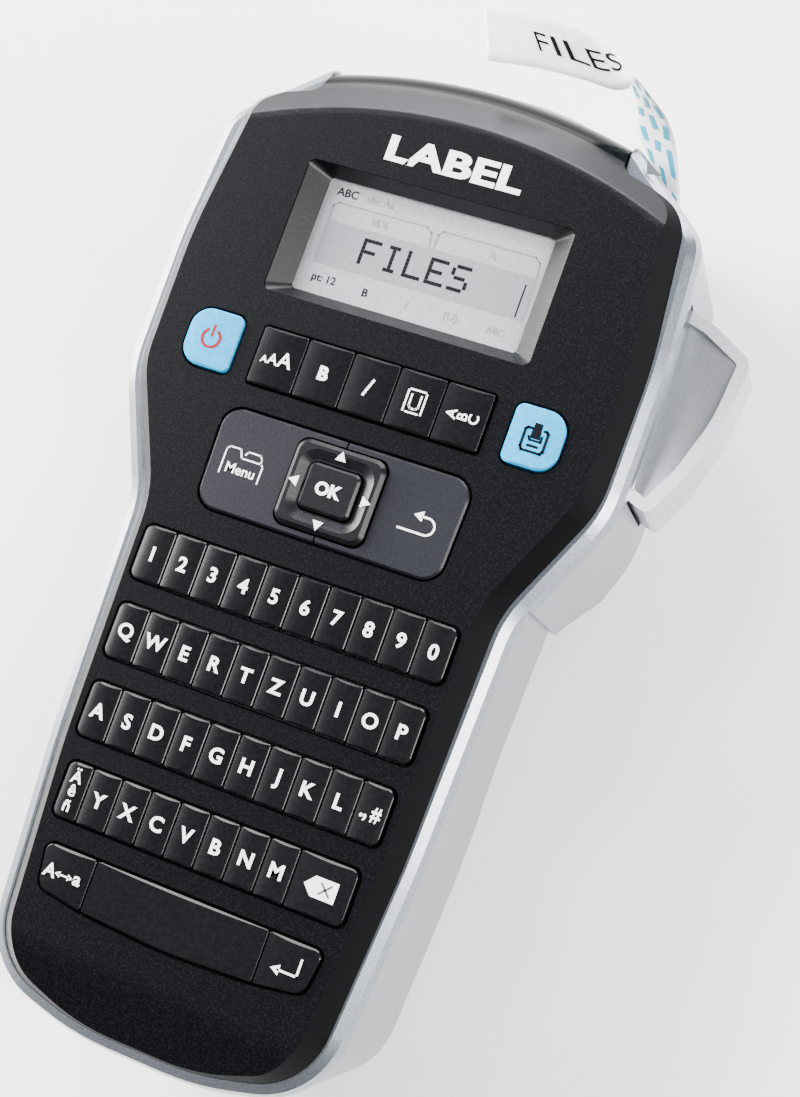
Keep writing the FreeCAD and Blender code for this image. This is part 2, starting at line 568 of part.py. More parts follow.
# ---- cutter -------------------------------------------------------------------------------------------
def cutter_lever():
    """Side lever: press it in and it swings about its lower end."""
    plan = [(51.8, 31.8, 2), (57.6, 29.8, 1.6), (62.1, 38.6, 30), (66.0, 51.5, 40), (67.1, 65.2, 3.2),
            (57.5, 69.9, 8), (51.6, 71.2, 1.2), (49.6, 68.6, 1), (50.2, 44.0, 4)]
    hub = rod(LEVER_PIVOT.x, LEVER_PIVOT.y, 3.3, LEVER_LOW_Z, LEVER_HIGH_Z)
    block = prism(plan, LEVER_LOW_Z, LEVER_HIGH_Z).fuse(hub)
    slope = side_cut(53.4, LEVER_HIGH_Z, 66.5, LEVER_HIGH_Z - 3.6)
    under = side_cut(54.6, LEVER_LOW_Z, 66.5, LEVER_LOW_Z + 4.0)
    dish = Part.makeCylinder(90, 40, V(40, 51, 90 + LEVER_HIGH_Z - 4.4), X_AXIS)
    scoop = dish.common(prism(grown(plan, -2.4), 30, 60))
    core = prism(grown(plan, -2.4), LEVER_LOW_Z + 6.5, LEVER_HIGH_Z - 9)
    mouth = box(48, 58, 42, 66, LEVER_LOW_Z + 6.5, LEVER_HIGH_Z - 9)
    pocket = rod(LEVER_PIVOT.x, LEVER_PIVOT.y, 3.3, LEVER_LOW_Z - 1, LEVER_LOW_Z + 5)
    bore = rod(LEVER_PIVOT.x, LEVER_PIVOT.y, LEVER_PIN_R + 0.05, 0, 60)
    return cut(block, [slope, under, scoop, core.fuse(mouth), pocket, bore])


def side_cut(x0, z0, x1, z1):
    """Wedge above (or below) the line from (x0, z0) to (x1, z1), along Y."""
    far = 60 if z1 < z0 else 0
    steps = [(x0, z0, 0), (x1 + 6, z1 + (z1 - z0) / (x1 - x0) * 6, 0), (x1 + 6, far, 0), (x0, far, 0)]
    if far < z0:
        steps = list(reversed(steps))
    return end_prism(steps, 20, 80)


def lever_pin():
    return rod(LEVER_PIVOT.x, LEVER_PIVOT.y, LEVER_PIN_R, LEVER_LOW_Z - 3.2, LEVER_HIGH_Z + 2.9)


def lever_spring():
    """Torsion coil round the pin, in the pocket at the hub's lower end, with its fixed leg along the wall."""
    x, y, z = LEVER_PIVOT.x, LEVER_PIVOT.y, LEVER_LOW_Z + 0.5
    coil = Part.makeHelix(0.95, 3.8, 2.1)
    profile = Part.Wire(Part.makeCircle(0.35, V(2.1, 0, 0), Y_AXIS))
    spring = Part.Wire(coil).makePipeShell([profile], True, True)
    spring.rotate(V(0, 0, 0), Z_AXIS, 180)
    leg = Part.makeCylinder(0.35, 5, V(-2.1, 0, 0), Y_AXIS)
    return [solid.translated(V(x, y, z)) for solid in (spring, leg)]


def blade_carriage():
    """Slider above the tape's path, just inside the shoulder wall."""
    return slot_box(11.4, 39.5, 42.3, 6.2, -3.4, offset=-1.3)


def cutter_blade():
    """Hardened blade on the carriage's outer face, its edge just above the tape."""
    return slot_box(12.0, 38.9, 42.1, 3.4, -3.0, offset=-1.0)


# ---- cassette and print drive -------------------------------------------------------------------------
def cassette_case():
    """Dark half of the cassette: floor towards the drive, walls and the roll's post."""
    (x0, x1), (y0, y1), (z0, z1) = CASE_X, CASE_Y, CASE_Z
    outline = [(x0, y0, 3), (x1, y0, 3), (x1, y1 - 14, 2), (x1 - 6, y1, 3), (x0, y1, 3)]
    shell = prism(outline, z0, z1).cut(prism(grown(outline, -1.3), z0 - 1, z1 - 1.3))
    post = rod(*ROLL_XY, 2.4, z0 + 0.6, z1 - 1.0)
    supply_post = rod(*SUPPLY_XY, 1.5, z0 + 0.6, z1 - 1.0)
    exit_gap = box(x1 - 4, x1 + 2, y1 - 13, y1 - 9, z0 + 1.5, z1 - 2.4)
    return shell.fuse([post, supply_post]).cut(rod(*takeup_xy(), 2.2, 0, 30)).cut(exit_gap)


def cassette_lid():
    """Clear half of the cassette, towards the door."""
    (x0, x1), (y0, y1), (z0, _) = CASE_X, CASE_Y, CASE_Z
    outline = [(x0, y0, 3), (x1, y0, 3), (x1, y1 - 14, 2), (x1 - 6, y1, 3), (x0, y1, 3)]
    return prism(outline, z0 - 1.3, z0).cut(rod(*takeup_xy(), 2.2, 0, 30))


def hub_roll(xy, r, bore, flange=None):
    """Wound roll on its hub."""
    roll = rod(*xy, r, 6.6, 18.6).fuse(rod(*xy, bore + 1.4, 5.4, 19.4))
    if flange:
        roll = roll.fuse(rod(*xy, flange, 5.6, 6.4))
    return roll.cut(rod(*xy, bore, 0, 30))


def idler_xy():
    """Idler centre, in mesh with both the pinion and the platen gear."""
    r1 = GEAR_MODULE * (PINION_T + IDLER_T) / 2
    r2 = GEAR_MODULE * (IDLER_T + PLATEN_T) / 2
    dx, dy = PLATEN_XY[0] - MOTOR_XY[0], PLATEN_XY[1] - MOTOR_XY[1]
    d = math.hypot(dx, dy)
    a = (r1 * r1 - r2 * r2 + d * d) / (2 * d)
    h = math.sqrt(r1 * r1 - a * a)
    return MOTOR_XY[0] + (a * dx - h * dy) / d, MOTOR_XY[1] + (a * dy + h * dx) / d


def takeup_xy():
    """Ribbon take-up axis, in mesh with the idler."""
    ix, iy = idler_xy()
    reach = GEAR_MODULE * (IDLER_T + TAKEUP_T) / 2
    angle = math.radians(200)
    return ix + reach * math.cos(angle), iy + reach * math.sin(angle)


def gear(xy, teeth, phase, bore=0.0):
    """Spur gear with straight-flanked teeth; phase is the direction of one tooth, in radians."""
    pitch_r = GEAR_MODULE * teeth / 2
    tip, root = pitch_r + 0.75 * GEAR_MODULE, pitch_r - 1.1 * GEAR_MODULE
    step = 2 * math.pi / teeth
    points = []
    for i in range(teeth):
        for r, share in ((root, -0.30), (tip, -0.13), (tip, 0.13), (root, 0.30)):
            angle = phase + (i + share) * step
            points.append((xy[0] + r * math.cos(angle), xy[1] + r * math.sin(angle), 0))
    wheel = prism(points, GEAR_LOW_Z, GEAR_LOW_Z + GEAR_T)
    return wheel.cut(rod(*xy, bore, 0, 60)) if bore else wheel


def meshed_phase(centre, teeth, phase, other, other_teeth):
    """Phase that puts a gap of the other gear at this gear's tooth."""
    line = math.atan2(other[1] - centre[1], other[0] - centre[0])
    return line + math.pi - (phase - line) * teeth / other_teeth + math.pi / other_teeth


def gear_phases():
    """Phase of each gear, starting from the platen's."""
    phases = {"platen": 0.0}
    phases["idler"] = meshed_phase(PLATEN_XY, PLATEN_T, 0.0, idler_xy(), IDLER_T)
    phases["pinion"] = meshed_phase(idler_xy(), IDLER_T, phases["idler"], MOTOR_XY, PINION_T)
    phases["takeup"] = meshed_phase(idler_xy(), IDLER_T, phases["idler"], takeup_xy(), TAKEUP_T)
    return phases


def drive_parts():
    """Motor, gear train, platen, ribbon spindle, head and the plate that holds them."""
    phases = gear_phases()
    idler, takeup = idler_xy(), takeup_xy()
    high = GEAR_LOW_Z + GEAR_T
    plan = [(-36, 30, 3), (39, 30, 3), (39, 80, 3), (36, 90.8, 3), (20, 90.8, 3), (-36, 90, 3)]
    plate = prism(plan, 22.0, 23.6)
    stud = rod(*idler, 1.5, 23.6, high + 1.2)
    holes = [rod(*MOTOR_XY, 2.0, 0, 60), rod(*PLATEN_XY, SHAFT_R + 0.05, 0, 60), rod(*takeup, 2.0, 0, 60)]
    parts = {"drive_plate": [cut(plate, holes).fuse(stud)]}
    parts["motor"] = [rod(*MOTOR_XY, 7.8, high + 1.6, 42.5)]
    shaft = rod(*MOTOR_XY, 0.9, high, high + 1.5)
    parts["motor_pinion"] = [gear(MOTOR_XY, PINION_T, phases["pinion"]).fuse(shaft)]
    parts["idler_gear"] = [gear(idler, IDLER_T, phases["idler"], 1.55)]
    parts["platen_gear"] = [gear(PLATEN_XY, PLATEN_T, phases["platen"], SHAFT_R)]
    parts["platen_shaft"] = [rod(*PLATEN_XY, SHAFT_R, 3.6, high + 1.0)]
    sleeve = rod(*PLATEN_XY, PLATEN_R, 6.5, 19.5).cut(rod(*PLATEN_XY, SHAFT_R, 0, 60))
    parts["platen_roller"] = [sleeve]
    takeup_wheel = gear(takeup, TAKEUP_T, phases["takeup"])
    parts["takeup_spindle"] = [takeup_wheel.fuse(rod(*takeup, 1.5, 5.0, GEAR_LOW_Z))]
    parts["ribbon_takeup"] = [hub_roll(takeup, TAKEUP_R, 1.5)]
    head = box(24.4, 26.2, 79.5, 91.5, 5.5, 21.9)
    parts["print_head"] = [head.fuse(box(26.2, 27.1, 84.5, 87.5, 6.2, 19.8))]
    return parts


# ---- tape ---------------------------------------------------------------------------------------------
def tape_edges():
    """Both edges of the tape at stations from just inside the slot to its free end."""
    along, out = slot_axes()
    a, b = SLOT_CENTRE - along * 6, SLOT_CENTRE + along * 6
    return [(a - out * 1.6, b - out * 1.6), (a + out * 1.2, b + out * 1.2),
            (V(39.6, 101.2, 42.5), V(30.6, 103.6, 38.4)), (V(37.0, 104.7, 47.8), V(28.6, 108.0, 41.0)),
            (V(33.6, 106.3, 53.2), V(26.7, 111.2, 45.4)), (V(31.2, 106.8, 58.6), V(24.6, 112.7, 50.6)),
            (V(31.0, 105.4, 61.0), V(22.6, 112.9, 56.8)), (V(30.2, 104.3, 59.6), V(21.2, 112.2, 61.2)),
            (V(27.0, 103.9, 58.4), V(18.4, 111.9, 63.0)), (V(21.9, 104.1, 58.8), V(14.1, 112.4, 63.4)),
            (V(12.8, 103.4, 61.0), V(6.0, 112.8, 63.3)), (V(2.7, 101.8, 62.4), V(-1.9, 112.8, 63.2))]


def tape_strip():
    """Printed tape: a thin band that climbs out of the slot and curls back over itself."""
    edges = tape_edges()
    wires = []
    for i, (a, b) in enumerate(edges):
        before, after = edges[max(i - 1, 0)], edges[min(i + 1, len(edges) - 1)]
        run = after[0] + after[1] - before[0] - before[1]
        normal = run.cross(b - a).normalize() * (TAPE_T / 2)
        wires.append(Part.makePolygon([a - normal, b - normal, b + normal, a + normal, a - normal]))
    return Part.makeLoft(wires, True, False)


# ---- assembly -----------------------------------------------------------------------------------------
def all_parts():
    """Every node and its solids, about the key face's centre line."""
    outer, inner = housing_form(0), housing_form(WALL)
    outlines = key_outlines()
    parts = {name: [domed_cap(corners) for corners in caps] for name, caps in outlines.items()}
    parts.update(panel_keys())
    parts["nav_ring"] = [nav_ring()]
    parts["nav_carrier"] = [nav_carrier()]
    parts["ok_key"] = [cap(rect(0, RING_Y, 2 * OK_HALF_W, 2 * OK_HALF_H, 1.3), top=OK_TOP_Z, edge=0.5)]
    parts["front_shell"] = [front_shell()]
    parts["rear_housing"] = [rear_housing()]
    parts["cassette_door"] = [cassette_door()]
    parts["door_window"] = [prism(window_outline(), DOOR_LOW_Z + 0.4, DOOR_LOW_Z + 1.6)]
    parts["battery_cover"] = [battery_cover(outer, inner)]
    parts["case_screws"] = case_screws()
    parts["rubber_feet"] = feet()
    parts["keypad_mat"] = [keypad_mat(outlines)]
    parts["lcd_window"] = [lcd_window()]
    parts["lcd_module"] = [lcd_module()]
    parts["main_board"] = [main_board()]
    parts["board_chips"] = board_chips()
    parts["dc_jack"] = [dc_jack()]
    parts["battery_cells"] = battery_cells()
    parts["battery_contacts"] = battery_contacts()
    parts["battery_tray"] = [battery_tray()]
    parts["cutter_lever"] = [cutter_lever()]
    parts["lever_pin"] = [lever_pin()]
    parts["lever_spring"] = lever_spring()
    parts["blade_carriage"] = [blade_carriage()]
    parts["cutter_blade"] = [cutter_blade()]
    parts["cassette_case"] = [cassette_case()]
    parts["cassette_lid"] = [cassette_lid()]
    parts["tape_roll"] = [hub_roll(ROLL_XY, ROLL_R, 2.5)]
    parts["ribbon_supply"] = [hub_roll(SUPPLY_XY, SUPPLY_R, 1.6)]
    parts.update(drive_parts())
    parts["tape_strip"] = [tape_strip()]
    return parts


def main():
    parts = all_parts()
    whole = Part.makeCompound([s for solids in parts.values() for s in solids]).BoundBox
    shift = V(-(whole.XMin + whole.XMax) / 2, -(whole.YMin + whole.YMax) / 2, 0)
    print("shift", round(shift.x, 4), round(shift.y, 4), "low", round(whole.ZMin, 3))
    os.makedirs("parts", exist_ok=True)
    for name, solids in parts.items():
        shape = Part.makeCompound(solids) if len(solids) > 1 else solids[0]
        shape.translate(shift)
        shape.exportStep(f"parts/{name}.step")
        print(name, len(shape.Solids), round(shape.Volume, 1), shape.isValid())


main()
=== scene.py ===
"""Looks of the handheld label maker: finishes, legends, display picture, printed tape, floor, lights, camera.

Metres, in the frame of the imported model: +Z out of the key face, +Y towards the display, +X to the lever.
"""

import json
import math

import bmesh
import bpy
from mathutils import Euler, Matrix, Vector


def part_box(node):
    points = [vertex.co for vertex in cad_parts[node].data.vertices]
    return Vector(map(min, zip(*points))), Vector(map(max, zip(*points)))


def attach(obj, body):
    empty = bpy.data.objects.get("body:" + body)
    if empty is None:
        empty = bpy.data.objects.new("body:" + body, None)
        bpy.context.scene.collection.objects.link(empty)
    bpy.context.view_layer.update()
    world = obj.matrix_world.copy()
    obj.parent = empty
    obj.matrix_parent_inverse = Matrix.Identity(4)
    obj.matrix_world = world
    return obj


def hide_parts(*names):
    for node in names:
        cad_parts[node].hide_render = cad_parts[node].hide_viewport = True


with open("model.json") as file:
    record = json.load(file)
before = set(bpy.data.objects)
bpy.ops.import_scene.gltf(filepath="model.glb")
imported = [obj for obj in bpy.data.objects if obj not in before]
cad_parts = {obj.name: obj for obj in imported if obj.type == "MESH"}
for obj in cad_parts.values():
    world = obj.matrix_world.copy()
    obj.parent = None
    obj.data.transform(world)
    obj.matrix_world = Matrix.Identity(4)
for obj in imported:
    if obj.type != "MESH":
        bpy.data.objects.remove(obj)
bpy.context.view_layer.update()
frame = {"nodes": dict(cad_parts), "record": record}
NODES = frame["nodes"]

# The key face's centre line, and the drawing's origin, in the model's frame.
MM = 0.001
face_low, face_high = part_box("front_shell")
CENTRE_X = (face_low.x + face_high.x) / 2
ORIGIN_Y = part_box("number_keys")[1].y + 4.0 * MM
FACE_Z = face_high.z

# Where the black shell's finish changes, in millimetres from the drawing's origin.
ROLLED_ARCH_Y, ROLLED_ARCH_R = -19.25, 110.8
RECESS_Y, RECESS_HALF_W, RECESS_HALF_H = 62.55, 28.7, 14.4


def at(x, y, z):
    """Point given in millimetres about the key face's own origin."""
    return Vector((CENTRE_X + x * MM, ORIGIN_Y + y * MM, z * MM))


# ---- finishes -----------------------------------------------------------------------------------------
def linear(code, alpha=1.0):
    """Linear colour of an sRGB hex code."""
    parts = [int(code[i:i + 2], 16) / 255 for i in (1, 3, 5)]
    return tuple(c / 12.92 if c <= 0.04045 else ((c + 0.055) / 1.055) ** 2.4 for c in parts) + (alpha,)


def add(tree, kind, links=None, **settings):
    """Adds a shader node; links gives an input its value or the output it reads."""
    made = tree.nodes.new(kind)
    for key, value in settings.items():
        setattr(made, key, value)
    for key, value in (links or {}).items():
        if isinstance(value, bpy.types.NodeSocket):
            tree.links.new(value, made.inputs[key])
        else:
            made.inputs[key].default_value = value
    return made


def blank(name):
    """Empty material, its node tree and the Object coordinates."""
    material = bpy.data.materials.new(name)
    material.use_nodes = True
    tree = material.node_tree
    tree.nodes.clear()
    return material, tree, add(tree, "ShaderNodeTexCoord").outputs["Object"]


def close(tree, links):
    """Ends a material with its Principled shader."""
    shader = add(tree, "ShaderNodeBsdfPrincipled", links)
    add(tree, "ShaderNodeOutputMaterial", {"Surface": shader.outputs["BSDF"]})


def grained(name, low, high, grain_mm, rough, bump_mm, gloss=0.5):
    """Moulded or printed surface: a fine grain that shifts the tone a little and dents the surface."""
    material, tree, place = blank(name)
    grain = add(tree, "ShaderNodeTexNoise",
                {"Vector": place, "Scale": 1000 / grain_mm, "Detail": 3.0}).outputs["Fac"]
    tone = add(tree, "ShaderNodeMapRange",
               {"Value": grain, "From Min": 0.4, "From Max": 0.68}).outputs["Result"]
    colour = add(tree, "ShaderNodeMix", {0: tone, 6: linear(low), 7: linear(high)}, data_type="RGBA")
    # The moulding's shine drifts a little over about 45 mm.
    broad = add(tree, "ShaderNodeTexNoise", {"Vector": place, "Scale": 1000 / 45, "Detail": 1.0}).outputs["Fac"]
    shine = add(tree, "ShaderNodeMapRange", {"Value": broad, "From Min": 0.3, "From Max": 0.7,
                                             "To Min": rough - 0.03, "To Max": rough + 0.04})
    bump = add(tree, "ShaderNodeBump", {"Height": grain, "Distance": bump_mm * MM, "Strength": 1.0})
    close(tree, {"Base Color": colour.outputs[2], "Roughness": shine.outputs["Result"],
                 "Normal": bump.outputs["Normal"], "Specular IOR Level": gloss})
    return material


def rolled_end(tree, place, up):
    """1 on the rolled end of the shell, which lies outside an arch in plan, and 0 elsewhere."""
    middle = at(0, ROLLED_ARCH_Y, 0)
    away = add(tree, "ShaderNodeVectorMath", {0: place, 1: middle}, operation="SUBTRACT")
    plan = add(tree, "ShaderNodeVectorMath", {0: away.outputs[0], 1: (1, 1, 0)}, operation="MULTIPLY")
    radius = add(tree, "ShaderNodeVectorMath", {0: plan.outputs[0]}, operation="LENGTH").outputs["Value"]
    outside = add(tree, "ShaderNodeMapRange", {"Value": radius, "From Min": ROLLED_ARCH_R * MM,
                                               "From Max": (ROLLED_ARCH_R + 0.5) * MM}).outputs["Result"]
    level = add(tree, "ShaderNodeMapRange", {"Value": up, "From Min": 0.86, "From Max": 0.94}).outputs["Result"]
    return add(tree, "ShaderNodeMath", {0: outside, 1: level}, operation="MULTIPLY").outputs["Value"]


def recess_walls(tree, place):
    """1 on the sloping walls of the display's recess, below the face and inside its opening, else 0."""
    x, y, z = add(tree, "ShaderNodeSeparateXYZ", {"Vector": place}).outputs
    walls = add(tree, "ShaderNodeMapRange", {"Value": z, "From Min": FACE_Z - 0.1 * MM,
                                             "From Max": FACE_Z - 0.2 * MM}).outputs["Result"]
    for along, middle, half in ((x, CENTRE_X, RECESS_HALF_W), (y, at(0, RECESS_Y, 0).y, RECESS_HALF_H)):
        offset = add(tree, "ShaderNodeMath", {0: along, 1: middle}, operation="SUBTRACT").outputs["Value"]
        distance = add(tree, "ShaderNodeMath", {0: offset}, operation="ABSOLUTE").outputs["Value"]
        within = add(tree, "ShaderNodeMapRange", {"Value": distance, "From Min": (half + 0.1) * MM,
                                                  "From Max": half * MM}).outputs["Result"]
        walls = add(tree, "ShaderNodeMath", {0: walls, 1: within}, operation="MULTIPLY").outputs["Value"]
    return walls


def textured_abs():
    """Black ABS: spark-eroded flats with fine pale specks, polished bevel, satin rolled end and recess."""
    material, tree, place = blank("abs_black_spark_eroded")
    # The eroded grain is about 0.2 mm; it is drawn at 0.42 mm, so that it shows.
    grain = add(tree, "ShaderNodeTexNoise",
                {"Vector": place, "Scale": 1000 / 0.42, "Detail": 2.0}).outputs["Fac"]
    normal = add(tree, "ShaderNodeNewGeometry").outputs["Normal"]
    up = add(tree, "ShaderNodeSeparateXYZ", {"Vector": normal}).outputs["Z"]
    flat = add(tree, "ShaderNodeMapRange", {"Value": up, "From Min": 0.84, "From Max": 0.9}).outputs["Result"]
    rolled = rolled_end(tree, place, up)
    recess = recess_walls(tree, place)
    coarse = add(tree, "ShaderNodeMath", {0: flat, 1: recess}, operation="MAXIMUM").outputs["Value"]
    pale = add(tree, "ShaderNodeMapRange",
               {"Value": grain, "From Min": 0.46, "From Max": 0.78}).outputs["Result"]
    specks = add(tree, "ShaderNodeMath", {0: pale, 1: coarse}, operation="MULTIPLY").outputs["Value"]
    colour = add(tree, "ShaderNodeMix", {0: specks, 6: linear("#040506"), 7: linear("#131419")},
                 data_type="RGBA").outputs[2]
    dents = add(tree, "ShaderNodeMath", {0: grain, 1: coarse}, operation="MULTIPLY").outputs["Value"]
    bump = add(tree, "ShaderNodeBump", {"Height": dents, "Distance": 0.018 * MM}).outputs["Normal"]
    rough = add(tree, "ShaderNodeMapRange", {"Value": coarse, "To Min": 0.14, "To Max": 0.38}).outputs["Result"]
    gloss = add(tree, "ShaderNodeMapRange", {"Value": flat, "To Min": 0.04, "To Max": 0.09}).outputs["Result"]
    for satin, share in ((rolled, 0.52), (recess, 0.22)):
        gloss = add(tree, "ShaderNodeMath", {0: satin, 1: share, 2: gloss},
                    operation="MULTIPLY_ADD").outputs["Value"]
    close(tree, {"Base Color": colour, "Roughness": rough, "Normal": bump, "Specular IOR Level": gloss})
    return material


def silver_lacquer(name, low, high):
    """Lacquered ABS: fine metal flakes, drawn at 0.4 mm so that they show, under a thin satin coat."""
    material, tree, place = blank(name)
    flakes = add(tree, "ShaderNodeTexNoise",
                 {"Vector": place, "Scale": 1000 / 0.4, "Detail": 2.0}).outputs["Fac"]
    tone = add(tree, "ShaderNodeMapRange",
               {"Value": flakes, "From Min": 0.35, "From Max": 0.65}).outputs["Result"]
    colour = add(tree, "ShaderNodeMix", {0: tone, 6: linear(low), 7: linear(high)}, data_type="RGBA").outputs[2]
    bump = add(tree, "ShaderNodeBump", {"Height": flakes, "Distance": 0.012 * MM}).outputs["Normal"]
    close(tree, {"Base Color": colour, "Metallic": 0.8, "Roughness": 0.3, "Normal": bump,
                 "Coat Weight": 0.25, "Coat Roughness": 0.25})
    return material


def clear_plastic(name, tint, alpha):
    """Polished clear plastic: mostly see-through, with a clean reflection and faint haze."""
    material, tree, place = blank(name)
    haze = add(tree, "ShaderNodeTexNoise", {"Vector": place, "Scale": 1000 / 12, "Detail": 1.0}).outputs["Fac"]
    rough = add(tree, "ShaderNodeMapRange", {"Value": haze, "To Min": 0.03, "To Max": 0.08}).outputs["Result"]
    close(tree, {"Base Color": linear(tint), "Roughness": rough, "Alpha": alpha, "IOR": 1.49})
    return material


def lined_metal(name, low, high, rough, line_mm):
    """Bare metal with fine drawn or turned lines."""
    material, tree, place = blank(name)
    spread = add(tree, "ShaderNodeMapping", {"Vector": place, "Scale": (0.15, 1.0, 1.0)}).outputs["Vector"]
    lines = add(tree, "ShaderNodeTexNoise",
                {"Vector": spread, "Scale": 1000 / line_mm, "Detail": 3.0}).outputs["Fac"]
    tone = add(tree, "ShaderNodeMapRange",
               {"Value": lines, "From Min": 0.35, "From Max": 0.65}).outputs["Result"]
    colour = add(tree, "ShaderNodeMix", {0: tone, 6: linear(low), 7: linear(high)}, data_type="RGBA").outputs[2]
    bump = add(tree, "ShaderNodeBump", {"Height": lines, "Distance": 0.01 * MM}).outputs["Normal"]
    close(tree, {"Base Color": colour, "Metallic": 1.0, "Roughness": rough, "Normal": bump})
    return material


# Grain, line and bump sizes are in millimetres.
FINISHES = {
    # Black with pale specks on the flats, a dark mirror on the bevel.
    "black_shell": textured_abs(),
    # Silver paint: bright where it faces a light, soft grey on the flank.
    "silver_housing": silver_lacquer("abs_silver_lacquered", "#747a82", "#888e96"),
    # A paler silver than the housing's.
    "lever_grey": silver_lacquer("abs_grey_lacquered", "#b8bcc1", "#c8cbd0"),
    # Polished black keys: nearly smooth, so their chamfers catch a thin bright line.
    "key_charcoal": grained("abs_charcoal_moulded", "#08080a", "#0e0e11", 0.8, 0.24, 0.008, gloss=0.3),
    # Sky-blue keys: a clean saturated colour with a thin bright edge.
    "key_blue": grained("polycarbonate_blue_moulded", "#0290c6", "#0ea0d4", 1.2, 0.22, 0.006, gloss=0.3),
    # Satin blue-grey that stands out softly from the black face.
    "panel_blue_grey": grained("abs_blue_grey_satin", "#0e0f15", "#15161d", 0.6, 0.4, 0.014, gloss=0.3),
    # Clear lens: only a faint darkening of what is under it.
    "clear_window": clear_plastic("acrylic_clear_polished", "#30363a", 0.03),
    # Matt pale grey, like a reflective display with nothing lit.
    "lcd_grey": grained("display_film_grey", "#94979a", "#a0a3a6", 0.9, 0.5, 0.004),
    # Dull, slightly pimpled grey rubber.
    "silicone": grained("silicone_grey_moulded", "#3b3b3e", "#47474a", 0.7, 0.6, 0.02),
    # Green solder mask with a weave that just shows.
    "circuit_board": grained("epoxy_board_green_masked", "#0c4a26", "#166236", 1.6, 0.35, 0.02),
    # Dull black with a sandy grain.
    "chip_black": grained("epoxy_black_moulded", "#101012", "#1b1b1e", 0.4, 0.55, 0.02),
    # Cool grey metal with a soft shine.
    "steel": lined_metal("steel_zinc_plated", "#8f9298", "#b9bcc2", 0.32, 0.5),
    # Warm bright metal, as on battery springs.
    "nickel": lined_metal("spring_steel_nickel_plated", "#b8b3a8", "#d8d4cb", 0.22, 0.4),
    # Pale drawn metal with lines along it.
    "motor_can": lined_metal("aluminium_drawn", "#9b9da1", "#c0c2c6", 0.35, 0.6),
    # Waxy cream-white plastic.
    "gear_plastic": grained("acetal_natural_moulded", "#d8d5c8", "#e6e3d8", 0.9, 0.38, 0.01),
    # Dull black rubber.
    "rubber_black": grained("rubber_black_moulded", "#17171a", "#242427", 0.5, 0.75, 0.03),
    # Ground roller surface: matt dark grey.
    "rubber_grey": grained("rubber_grey_ground", "#3a3a3d", "#4c4c4f", 0.4, 0.7, 0.03),
    # Plain dark grey plastic with a light grain.
    "cassette_grey": grained("abs_dark_grey_moulded", "#2b2b30", "#3a3a40", 0.7, 0.42, 0.02),
    # Smoky clear cover: what is under it shows dimly.
    "cassette_clear": clear_plastic("styrene_clear_polished", "#8a949c", 0.22),
    # Smooth white film with a soft gloss.
    "tape_white": grained("film_white_printed", "#e9e9ea", "#f6f6f6", 2.0, 0.3, 0.003),
    # Glossy black film.
    "ribbon_black": grained("film_black_wound", "#08080a", "#1a1a20", 0.3, 0.2, 0.006),
    # Smooth blue sleeve on the cells.
    "cell_wrap": grained("film_blue_shrunk", "#16345f", "#21477c", 1.4, 0.28, 0.006),
    # Plain black plastic inside the grip.
    "tray_black": grained("abs_black_moulded", "#131316", "#1e1e22", 0.6, 0.5, 0.02),
}
for part in frame["record"]["subparts"]:
    for place in NODES[part["node"]].material_slots:
        place.material = FINISHES[part["material_slot"]]

# Satin black: the four-way ring and its middle key are a tone darker than the panel round them.
RING_BLACK = grained("abs_charcoal_satin", "#08080b", "#0f0f13", 0.6, 0.36, 0.012, gloss=0.25)
for node in ("nav_ring", "ok_key"):
    NODES[node].material_slots[0].material = RING_BLACK

# Pad-printed inks: flat, matt and slightly raised, so they stay readable at any angle.
INK_WHITE = grained("ink_white_pad_printed", "#e8e8ea", "#f8f8f8", 0.5, 0.45, 0.004)
INK_GREY = grained("ink_dark_grey_pad_printed", "#3f4347", "#54585c", 0.5, 0.5, 0.004)
INK_RED = grained("ink_red_brown_pad_printed", "#7c160e", "#8a2016", 0.5, 0.45, 0.004, gloss=0.1)
INK_TEAL = grained("ink_teal_printed", "#0e8ea8", "#22a2b8", 0.5, 0.45, 0.004)
INK_NAVY = grained("ink_navy_pad_printed", "#05090d", "#080e14", 0.5, 0.45, 0.004, gloss=0.1)

# The display's picture: near-black where lit, and two greys a little darker than the film.
SEGMENT = grained("display_segment_dark", "#050606", "#0a0b0b", 0.5, 0.5, 0.002, gloss=0.1)
SEGMENT_FAINT = grained("display_segment_faint", "#75787b", "#7c7f82", 0.5, 0.5, 0.002)
BAND = grained("display_band_grey", "#7c8083", "#84888b", 0.9, 0.5, 0.002)


# ---- pieces -------------------------------------------------------------------------------------------
def piece(name, form, material, body):
    """Finished mesh from a bmesh, riding on a body."""
    mesh = bpy.data.meshes.new(name)
    form.to_mesh(mesh)
    form.free()
    made = bpy.data.objects.new(name, mesh)
    bpy.context.scene.collection.objects.link(made)
    mesh.materials.append(material)
    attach(made, body)
    return made


